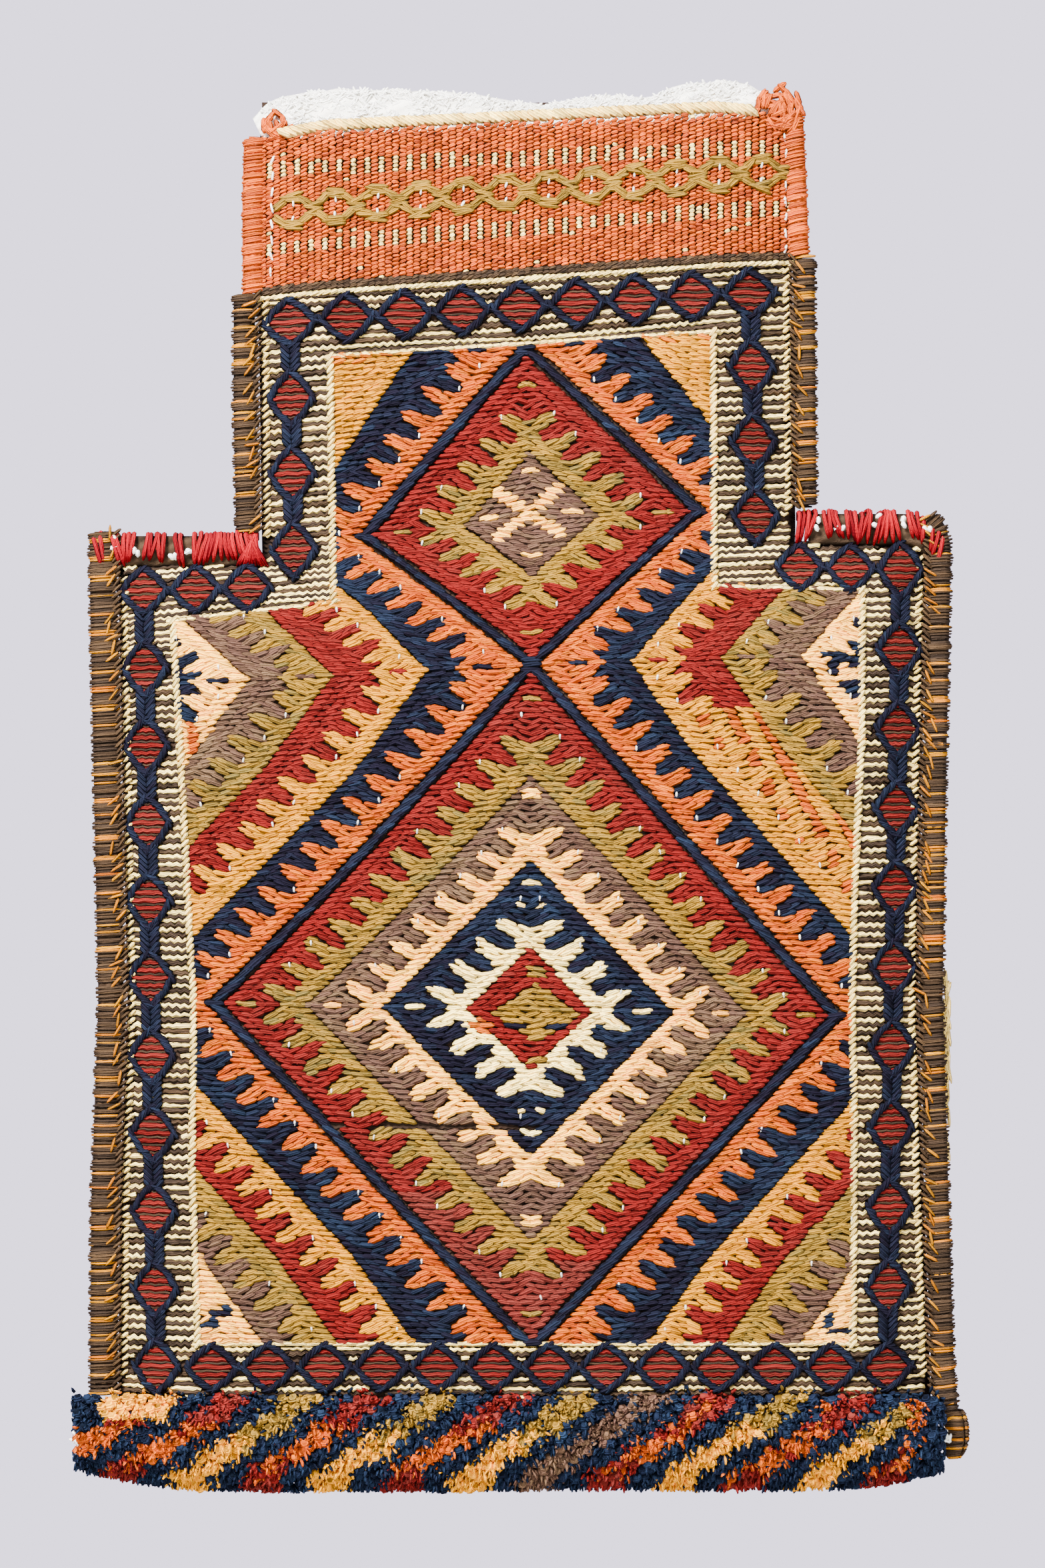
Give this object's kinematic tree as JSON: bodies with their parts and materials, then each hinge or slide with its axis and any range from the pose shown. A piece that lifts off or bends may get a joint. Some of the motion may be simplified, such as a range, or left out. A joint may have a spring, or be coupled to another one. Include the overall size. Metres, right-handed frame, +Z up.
{
  "type": "woven salt bag",
  "caption": "Flat-woven wool salt bag with a narrow neck, wide shoulders, diamond pattern, bound edges and a knotted pile foot, lying empty on its back.",
  "frame": {"origin": "middle of the bag's bounding box in X and Y, at the surface it lies on", "axes": "+X across the bag to the right, +Y from the pile foot towards the mouth, +Z up through the patterned face"},
  "size_m": [0.349, 0.549, 0.0181],
  "materials": {
    "ground_weave": "matte weft-faced wool and goat hair weave, cream and dark brown",
    "navy_yarn": "matte dark indigo wrapped wool",
    "red_yarn": "matte madder red wrapped wool",
    "salmon_yarn": "matte salmon wrapped wool",
    "gold_yarn": "matte gold wrapped wool",
    "olive_yarn": "matte olive wrapped wool",
    "taupe_yarn": "matte taupe wrapped wool",
    "peach_yarn": "matte peach wrapped wool",
    "cream_yarn": "matte undyed cream wool",
    "neck_weave": "matte ribbed salmon plain weave",
    "goat_hair": "coarse dark brown goat hair wrapping",
    "bright_red_yarn": "matte bright red overcast wool",
    "pile": "knotted wool pile in navy and mixed colours"
  },
  "bodies": {
    "root": {"folded_cloth": "ground_weave", "navy_lattice": "navy_yarn", "upper_red_diamond": "red_yarn", "upper_olive_diamond": "olive_yarn", "upper_taupe_diamond": "taupe_yarn", "upper_peach_cross": "peach_yarn", "lower_red_diamond": "red_yarn", "lower_olive_diamond": "olive_yarn", "lower_taupe_diamond": "taupe_yarn", "lower_peach_diamond": "peach_yarn", "inner_navy_diamond": "navy_yarn", "inner_cream_diamond": "cream_yarn", "inner_red_diamond": "red_yarn", "inner_olive_diamond": "olive_yarn", "left_salmon_zigzag": "salmon_yarn", "left_navy_top": "navy_yarn", "left_gold_top": "gold_yarn", "left_navy_middle": "navy_yarn", "left_gold_middle": "gold_yarn", "left_red_middle": "red_yarn", "left_olive_middle": "olive_yarn", "left_taupe_middle": "taupe_yarn", "left_peach_middle": "peach_yarn", "left_navy_foot": "navy_yarn", "left_gold_foot": "gold_yarn", "left_red_foot": "red_yarn", "left_olive_foot": "olive_yarn", "right_salmon_zigzag": "salmon_yarn", "right_navy_top": "navy_yarn", "right_gold_top": "gold_yarn", "right_navy_middle": "navy_yarn", "right_gold_middle": "gold_yarn", "right_red_middle": "red_yarn", "right_olive_middle": "olive_yarn", "right_taupe_middle": "taupe_yarn", "right_peach_middle": "peach_yarn", "right_navy_foot": "navy_yarn", "right_gold_foot": "gold_yarn", "right_red_foot": "red_yarn", "right_olive_foot": "olive_yarn", "border_chain": "navy_yarn", "neck_plain_weave": "neck_weave", "neck_olive_chain": "olive_yarn", "mouth_cord": "cream_yarn", "back_lip": "cream_yarn", "left_side_binding": "goat_hair", "right_side_binding": "goat_hair", "left_neck_binding": "goat_hair", "right_neck_binding": "goat_hair", "left_neck_selvage": "neck_weave", "right_neck_selvage": "neck_weave", "left_shoulder_stitching": "bright_red_yarn", "right_shoulder_stitching": "bright_red_yarn", "pile_foot": "pile", "corner_knot": "goat_hair"}
  },
  "joints": []
}
